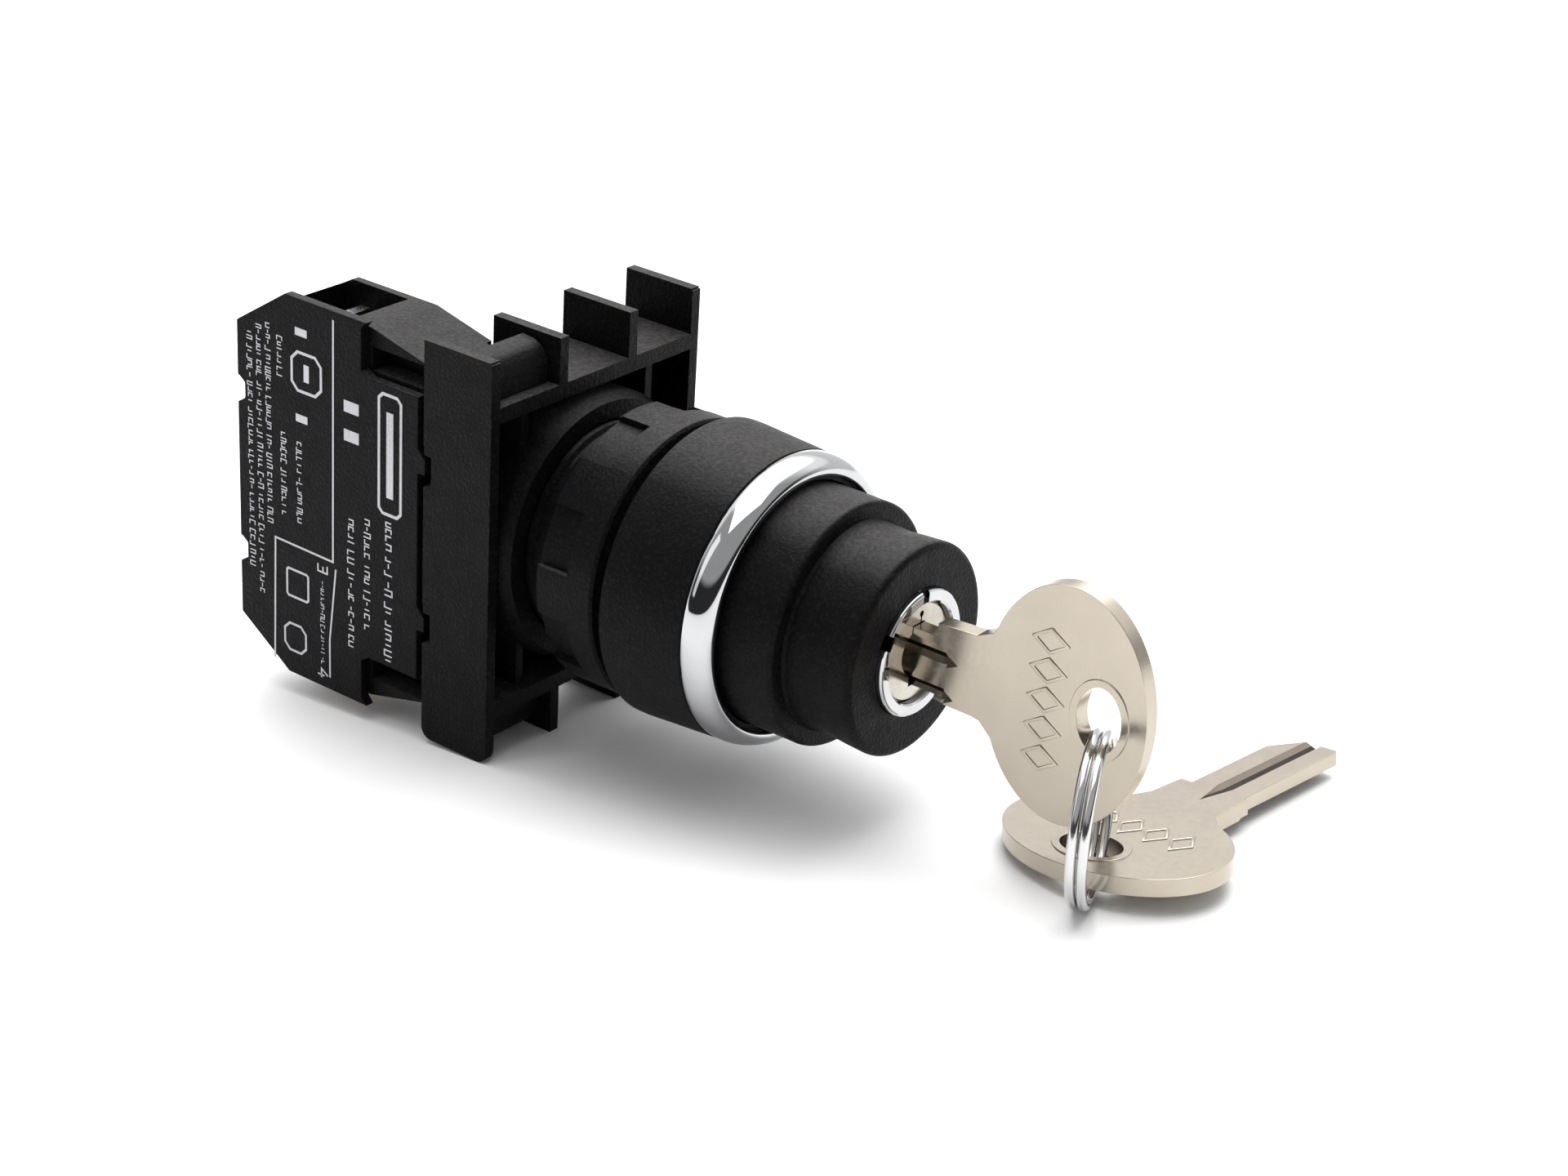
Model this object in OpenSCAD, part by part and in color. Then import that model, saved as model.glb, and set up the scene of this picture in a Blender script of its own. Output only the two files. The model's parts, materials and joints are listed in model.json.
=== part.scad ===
// Key-operated selector switch: a round head for a 22 mm panel hole, the adapter
// behind it and one contact block, with its key, a split ring and a spare key.
// The origin is where the switch's axis meets the panel's front face. +Y points
// to the back, into the panel, +Z is up, and the contact block is on the -X side.

/* [Head] */
// Diameter of the head where it meets the gasket
head_d = 29.8; // [29:0.1:31]
// Distance from the panel to the seat of the bright ring
head_h = 10.8; // [10:0.1:11.5]
// Distance from the panel to the front of the bright ring
ring_front = 13.6; // [13:0.1:14]
// Distance from the panel to the step of the lock housing
step_front = 19.3; // [18:0.1:20]
// Distance from the panel to the front face of the lock housing
nose_front = 26.8; // [26:0.1:27]
// Diameter of the lock housing below its step
housing_d = 23.9; // [23:0.1:24]
// Diameter of the lock housing's nose
nose_d = 20.7; // [19:0.1:21]

/* [Panel fixing] */
// Diameter of the threaded neck
neck_d = 22; // [21.8:0.1:22.2]
// Length of the neck behind the panel face
neck_len = 17.5; // [17.3:0.1:17.6]
// Thickness of the gasket
gasket_t = 1.6; // [1.2:0.1:1.8]
// Diameter of the locking nut
nut_d = 28.4; // [27:0.1:29]
// Length of the locking nut
nut_len = 7.1; // [6:0.1:7.2]

/* [Lock] */
// Diameter of the turning plug
plug_d = 9.8; // [9.8:0.1:10]
// Number of wafers
wafer_count = 4; // [2:1:4]
// How far a wafer drops when the key leaves
wafer_drop = 0.6; // [0.3:0.1:0.6]

/* [Cam] */
// How far the cam moves the pushers in a quarter turn
cam_lift = 3; // [2:0.1:3]
// Radial play of a turning or sliding part in its guide
play = 0.08; // [0.05:0.01:0.1]

/* [Adapter and contact block] */
// Width of the adapter, three contact blocks wide
adapter_w = 30; // [30:0.1:31]
// Height of the adapter
adapter_h = 41.8; // [41:0.1:43]
// Length of the contact block behind the adapter
block_len = 24.6; // [24:0.1:25]
// Half height of the contact block
block_half = 20.4; // [20:0.1:20.8]
// Distance from the block's mid height to a terminal screw
terminal_z = 14; // [13.5:0.1:14.2]
// Gap that the bridge crosses to close the contact
contact_gap = 2; // [1.5:0.1:2]

/* [Keys] */
// Thickness of a key
key_t = 1.7; // [1.6:0.1:2]
// Width of a key's bow
bow_w = 23.3; // [22:0.1:25]
// Height of the blade
blade_h = 6; // [5:0.1:6]
// Distance from the ring hole to the tip of the blade
key_reach = 32.6; // [30:0.1:33]
// Diameter of the split ring, to the middle of its wire
ring_d = 15.33; // [15.3:0.01:15.4]
// Diameter of the split ring's wire
ring_wire = 0.96; // [0.8:0.01:1]

/* [Hidden] */

fine = 96;
eps = 0.01;
black = [0.07, 0.07, 0.08];
grey = [0.3, 0.3, 0.32];
chrome = [0.85, 0.86, 0.88];
zinc = [0.66, 0.66, 0.67];
brass = [0.78, 0.62, 0.3];
silver = [0.82, 0.82, 0.82];
nickel = [0.76, 0.73, 0.66];

neck_r = neck_d / 2;
neck_bore_r = 9.3;
bezel_bore_r = housing_d / 2 + 0.15;
gasket_r = head_d / 2 - 0.85;
shelf_y = -3;
thread_pitch = 1.5;
thread_depth = 0.4;
thread_turns = 10;
front_r = head_d / 2 - 0.5;
lip_r = 12.5;
nut_r = nut_d / 2;
nut_recesses = 8;
recess_angle = 25;
recess_first = 21;

barrel_nose_r = 6.2;
barrel_r = 7.4;
barrel_front = nose_front + 0.65;
barrel_step = 24;
barrel_back = 7;
plug_r = plug_d / 2;
plug_front = barrel_front - 0.6;
key_recess_r = 2.3;
key_recess_depth = 1.3;
plug_back = 5.4;
clip_front = 6.85;
clip_back = 6.05;
tail_back = 3.1;
tail_w = 5;
key_z = -0.2;
wafer_t = 0.9;
wafer_w = 4.3;
wafer_pitch = 2.6;
wafer_s = 16.2;
spring_x = 3;
spring_top = 2.6;

rotor_front = -2.4;
rotor_back = 6;
rotor_r = neck_bore_r - play;
ramp_y = 6.6;
ramp_in = 6.25;
ramp_out = 9.1;
lift_per_deg = cam_lift / 90;
ball_r = 1.5;
ball_y = 2.2;
ball_travel = 0.4;
ball_z = rotor_r - ball_r;
guide_front = 11.2;
guide_back = 13.4;
pusher_in = 6.4;
pusher_out = 8.8;
pusher_half = 12;
foot_front = 17.7;
foot_back = 19.3;
foot_x = 12.3;
foot_half = 1.85;

adapter_front = 12.1;
adapter_back = 20.65;
wall_t = 1.2;
fin_x = 5;
web_front = 18.65;
beam_out = 16.2;
beam_t = 1.6;
collar_front = 11;
collar_r = 13.1;
half_w = adapter_w / 2;
half_h = adapter_h / 2;

block_front = 21.4;
block_back = block_front + block_len;
block_x = -10;
cover_t = 1.1;
cover_x = -half_w;
body_x = cover_x + cover_t;
body_end = -5;
cavity_end = -6.2;
chamfer_y = 6.8;
chamfer_z = 4.5;
plunger_w = 4.6;
plunger_half = 2.6;
plunger_tip = foot_back + 0.1;
bridge_front = 28.4;
bridge_t = 1;
tip_t = 0.8;
tip_z = 6.6;
strip_front = bridge_front + bridge_t + tip_t * 2 + contact_gap + 0.05;
strip_t = 1;
screw_r = 1.75;
head_r = 3.1;
access_r = 3.3;
chamber_back = 40.4;
clamp_gap = 2;

// Shape turned about the switch's axis: points are [radius, y].
module turned(points) {
  rotate([-90, 0, 0]) rotate_extrude($fn = fine) polygon(points);
}

// Round bar along Y from y0 to y1.
module bar_y(r, y0, y1, x = 0, z = 0, sides = fine) {
  translate([x, y0, z]) rotate([-90, 0, 0]) cylinder(r = r, h = y1 - y0, $fn = sides);
}

// Ring along Y from y0 to y1.
module tube_y(r_out, r_in, y0, y1) {
  difference() {
    bar_y(r_out, y0, y1);
    bar_y(r_in, y0 - eps, y1 + eps);
  }
}

// Box between two corners.
module box(low, high) {
  translate(low) cube(high - low);
}

// Flat outline in Y and Z, thickened from x0 to x1.
module plate_x(x0, x1) {
  translate([x0, 0, 0]) rotate([90, 0, 90]) linear_extrude(x1 - x0) children();
}

// Points of a circular arc, for outlines.
function arc(cx, cy, rx, ry, a0, a1, n = 10) =
  [for (i = [0 : n]) let (a = a0 + (a1 - a0) * i / n) [cx + rx * cos(a), cy + ry * sin(a)]];

// Swept tube of round section along points, with the frame given by two functions of i.
module swept(points, sides_u, sides_v, r, sides = 8) {
  n = len(points);
  ring_points = [
    for (i = [0 : n - 1]) for (k = [0 : sides - 1])
      points[i] + r * (cos(360 * k / sides) * sides_u[i] + sin(360 * k / sides) * sides_v[i])
  ];
  skin = [
    for (i = [0 : n - 2]) for (k = [0 : sides - 1])
      [i * sides + k, i * sides + (k + 1) % sides,
       (i + 1) * sides + (k + 1) % sides, (i + 1) * sides + k]
  ];
  first = [for (k = [sides - 1 : -1 : 0]) k];
  last = [for (k = [0 : sides - 1]) (n - 1) * sides + k];
  polyhedron(ring_points, concat(skin, [first, last]));
}

// Compression spring standing on z = 0.
module spring(r, wire, turns, length, steps = 10) {
  n = turns * steps;
  path = [for (i = [0 : n]) [r * cos(360 * i / steps), r * sin(360 * i / steps),
    wire + (length - 2 * wire) * i / n]];
  out = [for (i = [0 : n]) [-cos(360 * i / steps), -sin(360 * i / steps), 0]];
  up = [for (i = [0 : n]) [0, 0, 1]];
  swept(path, out, up, wire, 6);
}

// Slab of a ring sector whose far side, or near side, follows the cam's slope.
module sloped_sector(r0, r1, a0, a1, flat_y, slope_y, steps) {
  angles = [for (i = [0 : steps]) a0 + (a1 - a0) * i / steps];
  at = function (r, a, y) [r * cos(a), y, -r * sin(a)];
  points = [
    for (a = angles) each [
      at(r0, a, flat_y), at(r1, a, flat_y),
      at(r1, a, slope_y - lift_per_deg * a), at(r0, a, slope_y - lift_per_deg * a)
    ]
  ];
  sides = [
    for (i = [0 : steps - 1]) for (k = [0 : 3])
      [4 * i + k, 4 * i + (k + 1) % 4, 4 * i + 4 + (k + 1) % 4, 4 * i + 4 + k]
  ];
  turned_over = (flat_y > slope_y) != (a1 < a0);
  first = [0, 3, 2, 1];
  last = [4 * steps, 4 * steps + 1, 4 * steps + 2, 4 * steps + 3];
  faces = concat(sides, [first, last]);
  polyhedron(points, turned_over ? [for (f = faces) [for (k = [len(f) - 1 : -1 : 0]) f[k]]] : faces);
}

// ---------------------------------------------------------------- head

module bezel_body() {
  thread = [
    for (i = [0 : thread_turns - 1]) let (y = 15.5 - i * thread_pitch) each [
      [neck_r, y], [neck_r, y - 0.5], [neck_r - thread_depth, y - 0.8], [neck_r - thread_depth, y - 1.2]
    ]
  ];
  color(black) difference() {
    turned(concat(
      [[neck_bore_r, neck_len], [neck_r - 0.5, neck_len], [neck_r, neck_len - 0.5]],
      thread,
      [
        [neck_r, 0.4], [neck_r, -gasket_t], [head_d / 2, -gasket_t], [head_d / 2, -gasket_t - 1],
        [front_r, 0.2 - head_h], [front_r - 0.2, -head_h], [lip_r, -head_h],
        [lip_r, 1 - ring_front], [bezel_bore_r, 0.9 - ring_front],
        [bezel_bore_r, -6], [bezel_bore_r + 0.35, -5.7], [bezel_bore_r + 0.35, -4.9],
        [bezel_bore_r, -4.6], [bezel_bore_r, shelf_y], [neck_bore_r, shelf_y]
      ]
    ));
    for (a = [0, 90])
      rotate([0, a, 0]) translate([0, ball_y, ball_z + ball_travel]) sphere(r = ball_r + 0.06, $fn = 32);
    box([-1, 12, neck_r - 0.9], [1, neck_len + 1, neck_r + 1]);
  }
}

module bezel_ring() {
  color(chrome) turned(concat(
    [[lip_r + 0.04, -head_h], [front_r, -head_h]],
    arc(lip_r + 0.45, -head_h - 0.5, front_r - lip_r - 0.45, ring_front - head_h - 0.5, 0, -90, 12),
    [[lip_r + 0.2, 0.08 - ring_front], [lip_r + 0.04, 0.3 - ring_front]]
  ));
}

module panel_gasket() {
  color([0.05, 0.05, 0.05]) turned(concat(
    [[neck_r + 0.02, 0], [neck_r + 0.02, -gasket_t], [gasket_r - 0.1, -gasket_t],
      [gasket_r, 0.1 - gasket_t], [gasket_r, -0.1], [gasket_r - 0.1, 0]]
  ));
}

module locking_nut() {
  shallow = nut_r - 0.75;
  flange = 3.2;
  color(black) difference() {
    turned([
      [neck_r + 0.05, 0.1], [nut_r - 0.3, 0.1], [nut_r, 0.4], [nut_r, nut_len - 0.6],
      [nut_r - 0.3, nut_len], [neck_r + 0.05, nut_len]
    ]);
    for (i = [0 : nut_recesses - 1])
      rotate([0, i * 360 / nut_recesses + recess_first, 0]) translate([0, flange, 0]) rotate([-90, 0, 0])
        linear_extrude(nut_len) polygon(concat(
          arc(0, 0, nut_r + 1, nut_r + 1, 180 - recess_angle / 2, 180 + recess_angle / 2, 2),
          arc(0, 0, shallow, shallow, 180 + recess_angle / 2, 180 - recess_angle / 2, 4)
        ));
  }
}

module lock_housing() {
  bore = barrel_r + 0.05;
  r = housing_d / 2;
  n = nose_d / 2;
  color(black) difference() {
    turned(concat(
      [[neck_bore_r, shelf_y], [r - 0.4, shelf_y], [r, shelf_y - 0.4], [r, -4.9],
       [r + 0.35, -5.1], [r + 0.35, -5.5], [r, -5.9], [r, 0.5 - step_front]],
      arc(r - 0.5, 0.5 - step_front, 0.5, 0.5, 0, -90, 5),
      [[n, -step_front], [n - 0.15, -step_front - 0.3], [n - 0.3, -step_front - 2.6],
       [n - 0.12, -step_front - 4.6], [n, 0.9 - nose_front]],
      arc(n - 0.7, 0.7 - nose_front, 0.7, 0.7, 0, -90, 6),
      [[barrel_nose_r + 0.05, -nose_front], [barrel_nose_r + 0.05, -barrel_step],
       [bore, -barrel_step], [bore, -8.4], [neck_bore_r, -8.4]]
    ));
    box([-1, -12, -bore - 1], [1, -8.2, -bore + 0.5]);
  }
}

module lock_barrel() {
  groove = barrel_r - 1.4;
  color(chrome) difference() {
    union() {
      turned(concat(
        [[plug_r + 0.05, -barrel_back], [barrel_r, -barrel_back], [barrel_r, -7.4], [7, -7.4],
         [7, -8.3], [barrel_r, -8.3], [barrel_r, -barrel_step], [barrel_nose_r, -barrel_step],
         [barrel_nose_r, 0.3 - barrel_front]],
        arc(barrel_nose_r - 0.3, 0.3 - barrel_front, 0.3, 0.3, 0, -90, 6),
        [[plug_r + 0.2, -barrel_front], [plug_r + 0.05, 0.15 - barrel_front]]
      ));
      box([-0.95, -11.5, -barrel_r - 0.9], [0.95, -8.5, -barrel_r + 0.2]);
    }
    for (a = [0, 90])
      rotate([0, a, 0])
        box([-wafer_w / 2 - 0.1, -25, -groove], [wafer_w / 2 + 0.1, -12.6, -plug_r + 0.6]);
    box([-0.45, -barrel_front - 1, plug_r + 0.1], [0.45, 1.1 - barrel_front, barrel_nose_r + 1]);
    rotate([0, -62, 0])
      box([-0.7, -barrel_front - 1, plug_r + 0.5], [0.7, 1.2 - barrel_front, barrel_nose_r + 1]);
  }
}

module barrel_clip() {
  color(zinc) difference() {
    tube_y(9, 7.02, -8.2, -7.5);
    box([-3, -9, 0], [3, -7, 12]);
  }
}

module plug_clip() {
  color(zinc) difference() {
    tube_y(6.3, 4.02, -clip_front, -clip_back);
    box([-2.4, -8, -8], [2.4, -5, 0]);
  }
}

module lock_plug() {
  color(nickel) difference() {
    union() {
      turned([
        [0, -plug_back], [plug_r, -plug_back], [plug_r, -clip_back], [4, -clip_back],
        [4, -clip_front - 0.02], [plug_r, -clip_front - 0.02], [plug_r, 0.25 - plug_front],
        [plug_r - 0.25, -plug_front], [0, -plug_front]
      ]);
      box([-tail_w / 2, -plug_back - eps, -tail_w / 2], [tail_w / 2, -tail_back, tail_w / 2]);
    }
    // keyway
    box([-key_t / 2 - 0.08, -plug_front - 1, key_z - blade_h / 2 - 0.1],
        [key_t / 2 + 0.08, -13.9, key_z + blade_h / 2 + 0.1]);
    // round recess at the keyway's mouth, and the slit above it
    bar_y(key_recess_r, -plug_front - 1, key_recess_depth - plug_front);
    box([0.25, -plug_front - 1, 2], [0.45, 0.8 - plug_front, 3.7]);
    bar_y(0.3, -plug_front - 1, 0.8 - plug_front, 0.35, 3.7, 24);
    for (i = [0 : wafer_count - 1]) {
      s = wafer_s + i * wafer_pitch;
      box([-wafer_w / 2 - 0.08, -s - wafer_t / 2 - 0.05, -plug_r - 1],
          [wafer_w / 2 + 0.08, -s + wafer_t / 2 + 0.05, plug_r + 1]);
      box([0, -s - wafer_t / 2 - 0.05, -2.7], [spring_x + 0.75, -s + wafer_t / 2 + 0.05, spring_top]);
    }
    bar_y(1.55, -8, 1, 0, 0, 32);
  }
}

// Wafer number i, counted from the back of the lock.
module wafer(i) {
  s = wafer_s + i * wafer_pitch;
  blade_half = blade_h / 2;
  color(brass) translate([0, wafer_t / 2 - s, 0]) rotate([90, 0, 0]) linear_extrude(wafer_t) {
    difference() {
      intersection() {
        circle(r = plug_r - 0.06, $fn = fine);
        square([wafer_w, 20], center = true);
      }
      translate([-key_t / 2 - 0.1, key_z - blade_half - 0.1])
        square([key_t + 0.2, blade_h + 0.2 + wafer_drop]);
    }
    translate([wafer_w / 2 - 0.3, -1.9]) square([spring_x + 0.6 - wafer_w / 2 + 0.3, 0.6]);
  }
}

module wafer_springs() {
  color(zinc) for (i = [0 : wafer_count - 1])
    translate([spring_x + 0.02, -wafer_s - i * wafer_pitch, -1.3])
      spring(0.28, 0.1, 4, spring_top + 1.3, 6);
}

module tail_driver() {
  color(zinc) difference() {
    union() {
      bar_y(6.8, -5.3, -3);
      for (side = [-1, 1])
        translate([side * 5.6, 0, 0]) box([-1, -3.1, -1.5], [1, 1.2, 1.5]);
    }
    box([-tail_w / 2 - 0.03, -6, -tail_w / 2 - 0.03], [tail_w / 2 + 0.03, -2, tail_w / 2 + 0.03]);
  }
}

module tail_screw() {
  color(zinc) difference() {
    union() {
      turned([[0, -3], [3.5, -3], [3.5, -2], [2.9, -1.3], [0, -1.3]]);
      bar_y(1.5, -7.8, -2.9, 0, 0, 32);
    }
    for (a = [0, 90]) rotate([0, a, 0]) box([-1.7, -2.2, -0.3], [1.7, 0, 0.3]);
  }
}

// ---------------------------------------------------------------- cam

module cam_rotor() {
  color(grey) {
    difference() {
      turned([
        [2, rotor_back], [2, 0], [3.7, 0], [3.7, rotor_front], [rotor_r - 0.3, rotor_front],
        [rotor_r, rotor_front + 0.3], [rotor_r, rotor_back - 0.2], [rotor_r - 0.2, rotor_back]
      ]);
      for (side = [-1, 1])
        translate([side * 5.6, 0, 0]) box([-1.08, rotor_front - 1, -1.58], [1.08, 1.3, 1.58]);
      translate([0, ball_y, 3.6]) cylinder(r = ball_r + 0.06, h = 10, $fn = 48);
    }
    for (a = [0, 180])
      rotate([0, a, 0]) sloped_sector(ramp_in, ramp_out, 13, -103, rotor_back - 0.3, ramp_y, 29);
  }
}

module index_ball() {
  color(silver) translate([0, ball_y, ball_z]) sphere(r = ball_r, $fn = 48);
}

module index_spring() {
  color(zinc) translate([0, ball_y, 3.62]) spring(1, 0.17, 4, ball_z - 3.62 - 1.1);
}

module guide_plate() {
  a = pusher_half + 1;
  color(grey) difference() {
    bar_y(neck_bore_r - 0.02, guide_front, guide_back);
    bar_y(3, guide_front - 1, guide_back + 1);
    for (side = [0, 180])
      rotate([0, side, 0]) translate([0, guide_front - 1, 0]) rotate([-90, 0, 0])
        linear_extrude(4) polygon(concat(
          arc(0, 0, pusher_out + 0.1, pusher_out + 0.1, -a, a, 8),
          arc(0, 0, pusher_in - 0.1, pusher_in - 0.1, a, -a, 8)
        ));
  }
}

// Cam follower on the +X side.
module pusher() {
  color(grey) {
    sloped_sector(pusher_in, pusher_out, -pusher_half, pusher_half, foot_front + 0.2, ramp_y + 0.1, 6);
    box([5.3, 7.4, -1], [6.1, 8.2, 1]);
    box([6, 7.4, -1], [7, 8.2, 1]);
    box([pusher_in, foot_front, -foot_half], [foot_x, foot_back, foot_half]);
  }
}

module pusher_far() {
  pusher();
}

module pusher_near() {
  rotate([0, 180, 0]) pusher();
}

// ---------------------------------------------------------------- adapter

// Side wall of the adapter, with notches for a contact block's teeth.
module adapter_wall_outline() {
  difference() {
    union() {
      translate([adapter_front, 1.2 - half_h])
        square([adapter_back - adapter_front, adapter_h - 1.4]);
      translate([adapter_front + 1.2, -half_h]) square([adapter_back - adapter_front - 2.4, 1.4]);
      for (y = [adapter_front + 1.2, adapter_back - 1.2])
        translate([y, 1.2 - half_h]) circle(r = 1.2, $fn = 32);
      translate([adapter_front + 0.2, half_h - 0.4])
        square([adapter_back - adapter_front - 0.2, 0.4]);
    }
    for (z = [8.3, -8.3])
      translate([adapter_back, z])
        polygon([[1, -2.3], [1, 2.1], [0.2, 2.1], [-1, 0.9], [-1, -2.3]]);
  }
}

module adapter_frame() {
  color(black) difference() {
    union() {
      for (x = [-half_w, half_w - wall_t]) plate_x(x, x + wall_t) adapter_wall_outline();
      for (x = [-fin_x, fin_x], side = [0, 1])
        mirror([0, 0, side])
          box([x - wall_t / 2, adapter_front, beam_out - beam_t],
              [x + wall_t / 2, adapter_back, half_h]);
      for (side = [0, 1])
        mirror([0, 0, side]) {
          box([-half_w + 0.1, adapter_front, beam_out - beam_t],
              [half_w - 0.1, adapter_back, beam_out]);
          for (x = [-9, 0.6, 9])
            box([x - 0.5, adapter_front + 1.2, 8], [x + 0.5, web_front + eps, beam_out - 0.5]);
        }
      box([-half_w + 0.1, web_front, 0.1 - beam_out], [half_w - 0.1, adapter_back, beam_out - 0.1]);
      turned([
        [neck_r + 0.04, collar_front + 0.3], [neck_r + 0.3, collar_front],
        [collar_r, collar_front], [collar_r + 0.6, collar_front + 1.6],
        [collar_r + 0.6, web_front + 1], [neck_r + 0.04, web_front + 1]
      ]);
    }
    bar_y(neck_r + 0.04, collar_front - 1, neck_len + 0.05);
    bar_y(foot_x + 0.4, neck_len + 0.1, adapter_back + 1);
    for (z = [-8.3, 8.3])
      box([-half_w - 1, adapter_back - 1, z - 2.3], [-half_w + 2.4, adapter_back + 1, z + 0.9]);
  }
}

// ---------------------------------------------------------------- contact block

// Outline of the block's side, without the front recesses: points are [y, z].
function block_outline() = let (h = block_half - 0.8, b = block_back) [
  [block_front, 1.7 - h], [28.6, -h], [b - chamfer_y, -h], [b, 3.8 - h],
  [b, h - 3.8], [b - chamfer_y, h], [28.6, h], [block_front, h - 1.7]
];

// Room for one terminal, with its screw and wire clamp.
module terminal_chamber() {
  box([body_x - 1, strip_front - 1.5, 11.6], [cavity_end + 0.3, chamber_back, block_half + 1]);
  box([body_x - 1, strip_front - eps, 4.4], [cavity_end - 0.4, strip_front + strip_t + 0.02, 12]);
  bar_y(screw_r + 0.3, strip_front - 3.2, strip_front, block_x, terminal_z, 32);
  box([block_x - access_r, strip_front + 3.5, terminal_z - head_r - 0.15],
      [block_x + access_r, chamber_back, terminal_z]);
  bar_y(access_r, chamber_back - eps, block_back + 1, block_x, terminal_z);
}

module block_housing() {
  play_x = plunger_w / 2 + play;
  color(black) difference() {
    union() {
      plate_x(body_x, body_end) polygon(block_outline());
      // hooks that hold the block on the adapter's beams
      for (side = [0, 1])
        mirror([0, 0, side]) {
          plate_x(body_x + 0.3, -fin_x - 0.9)
            polygon([
              [13.4, beam_out + 0.1], [23, beam_out + 0.1], [23, half_h - 2.9], [21.2, half_h - 2.9],
              [20.65, half_h - 3.1], [16.6, half_h - 0.6], [15.1, half_h - 0.75], [14.1, half_h - 1.2],
              [13.5, half_h - 2], [13.4, half_h - 2.6]
            ]);
        }
    }
    for (side = [0, 1]) mirror([0, 0, side]) terminal_chamber();
    // room for the plunger, the bridge and the return spring
    box([body_x - 1, 24.2, -10.2], [cavity_end, 43, 10.2]);
    box([block_x - play_x, block_front - 1, -plunger_half - play],
        [block_x + play_x, 25, plunger_half + play]);
    box([-foot_x - 0.3, block_front - 1, -foot_half - 0.9],
        [0.3 - pusher_in, block_front + 1.3, foot_half + 0.9]);
    // front recesses beside the cover
    for (side = [0, 1])
      mirror([0, 0, side]) box([body_x - 1, block_front - 1, 15.3], [body_x + 2.4, 28.4, 17.7]);
  }
}

// Side cover: the outline has teeth at the front and notches at the back.
module block_cover() {
  h = block_half;
  b = block_back;
  color(black) plate_x(cover_x, cover_x + cover_t) difference() {
    union() {
      polygon([
        [block_front, -14.9], [27.9, -14.9], [28.9, -15.5], [28.9, -h + 0.7], [28.2, -h],
        [b - chamfer_y, -h], [b, -h + chamfer_z], [b, h - chamfer_z], [b - chamfer_y, h],
        [28.2, h], [28.9, h - 0.7], [28.9, 15.5], [27.9, 14.9], [block_front, 14.9]
      ]);
      for (z = [8.3, -8.3])
        translate([block_front, z])
          polygon([[1, -1.2], [1, 1.4], [0, 1.4], [-0.95, 0.4], [-0.95, -1.2]]);
    }
    for (side = [0, 1])
      mirror([0, side]) translate([b, 8.7])
        polygon([[1, -1.8], [-0.3, -1.3], [-1, -0.8], [-1, 0.8], [-0.3, 1.3], [1, 1.8]]);
  }
}

module block_plunger() {
  w = plunger_w / 2;
  rear = bridge_front + bridge_t + 0.05;
  color([0.75, 0.12, 0.1]) {
    difference() {
      box([block_x - w, plunger_tip, -plunger_half], [block_x + w, 33.4, plunger_half]);
      box([block_x - w + 0.6, 24.4, -plunger_half - 1], [block_x + w - 0.6, rear, plunger_half + 1]);
    }
    bar_y(1.2, 33.3, 37, block_x, 0, 32);
  }
}

module plunger_spring() {
  color(zinc) translate([block_x, 33.42, 0]) rotate([-90, 0, 0]) spring(1.8, 0.22, 7, 9.55);
}

module contact_bridge() {
  color(brass) box([block_x - 1.6, bridge_front, -8.6], [block_x + 1.6, bridge_front + bridge_t, 8.6]);
}

module bridge_tips() {
  y = bridge_front + bridge_t;
  color(silver) for (z = [-tip_z, tip_z]) bar_y(1.4, y, y + tip_t, block_x, z, 32);
}

module bridge_spring() {
  color(zinc) translate([block_x, 24.42, 0]) rotate([-90, 0, 0]) spring(1.2, 0.18, 5, bridge_front - 24.44);
}

module terminal() {
  f = strip_front;
  color(brass) difference() {
    plate_x(-13.2, -6.8)
      polygon([
        [f, 4.6], [f + strip_t, 4.6], [f + strip_t, 18.2], [f - 1.4, 18.2], [f - 1.4, 11.8], [f, 11.8]
      ]);
    bar_y(screw_r + 0.05, f - 2, f + 2, block_x, terminal_z, 32);
  }
}

module fixed_tip() {
  color(silver) bar_y(1.4, strip_front - tip_t, strip_front, block_x, tip_z, 32);
}

module clamp_plate() {
  y = strip_front + strip_t + clamp_gap;
  color(zinc) difference() {
    box([-13.4, y, 11.9], [-6.6, y + 1.2, 17.6]);
    bar_y(screw_r + 0.03, y - 1, y + 2, block_x, terminal_z, 32);
  }
}

module terminal_screw() {
  y = strip_front + strip_t + clamp_gap + 1.2;
  color(zinc) translate([block_x, 0, terminal_z]) difference() {
    union() {
      bar_y(screw_r, strip_front - 2, y + 0.5, 0, 0, 32);
      turned([[0, y], [head_r, y], [head_r, y + 1.2], [head_r - 0.7, y + 1.8], [0, y + 1.8]]);
    }
    for (a = [0, 90]) rotate([0, a, 0]) box([-2, y + 0.9, -0.35], [2, y + 3, 0.35]);
  }
}

module terminal_upper() { terminal(); }
module terminal_lower() { mirror([0, 0, 1]) terminal(); }
module fixed_tip_upper() { fixed_tip(); }
module fixed_tip_lower() { mirror([0, 0, 1]) fixed_tip(); }
module clamp_upper() { clamp_plate(); }
module clamp_lower() { mirror([0, 0, 1]) clamp_plate(); }
module terminal_screw_upper() { terminal_screw(); }
module terminal_screw_lower() { mirror([0, 0, 1]) terminal_screw(); }

// ---------------------------------------------------------------- keys

hole_u = 2.3;
hole_v = 3.2;
bow_u = 3.65;
bow_v = 0;
bow_half_u = 8.45;
neck_low = -4.6;
neck_high = 4.3;
shoulder_high = 3.4;
neck_end = 17.5;
blade_v = -0.9;
blade_step = 0.2;

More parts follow.
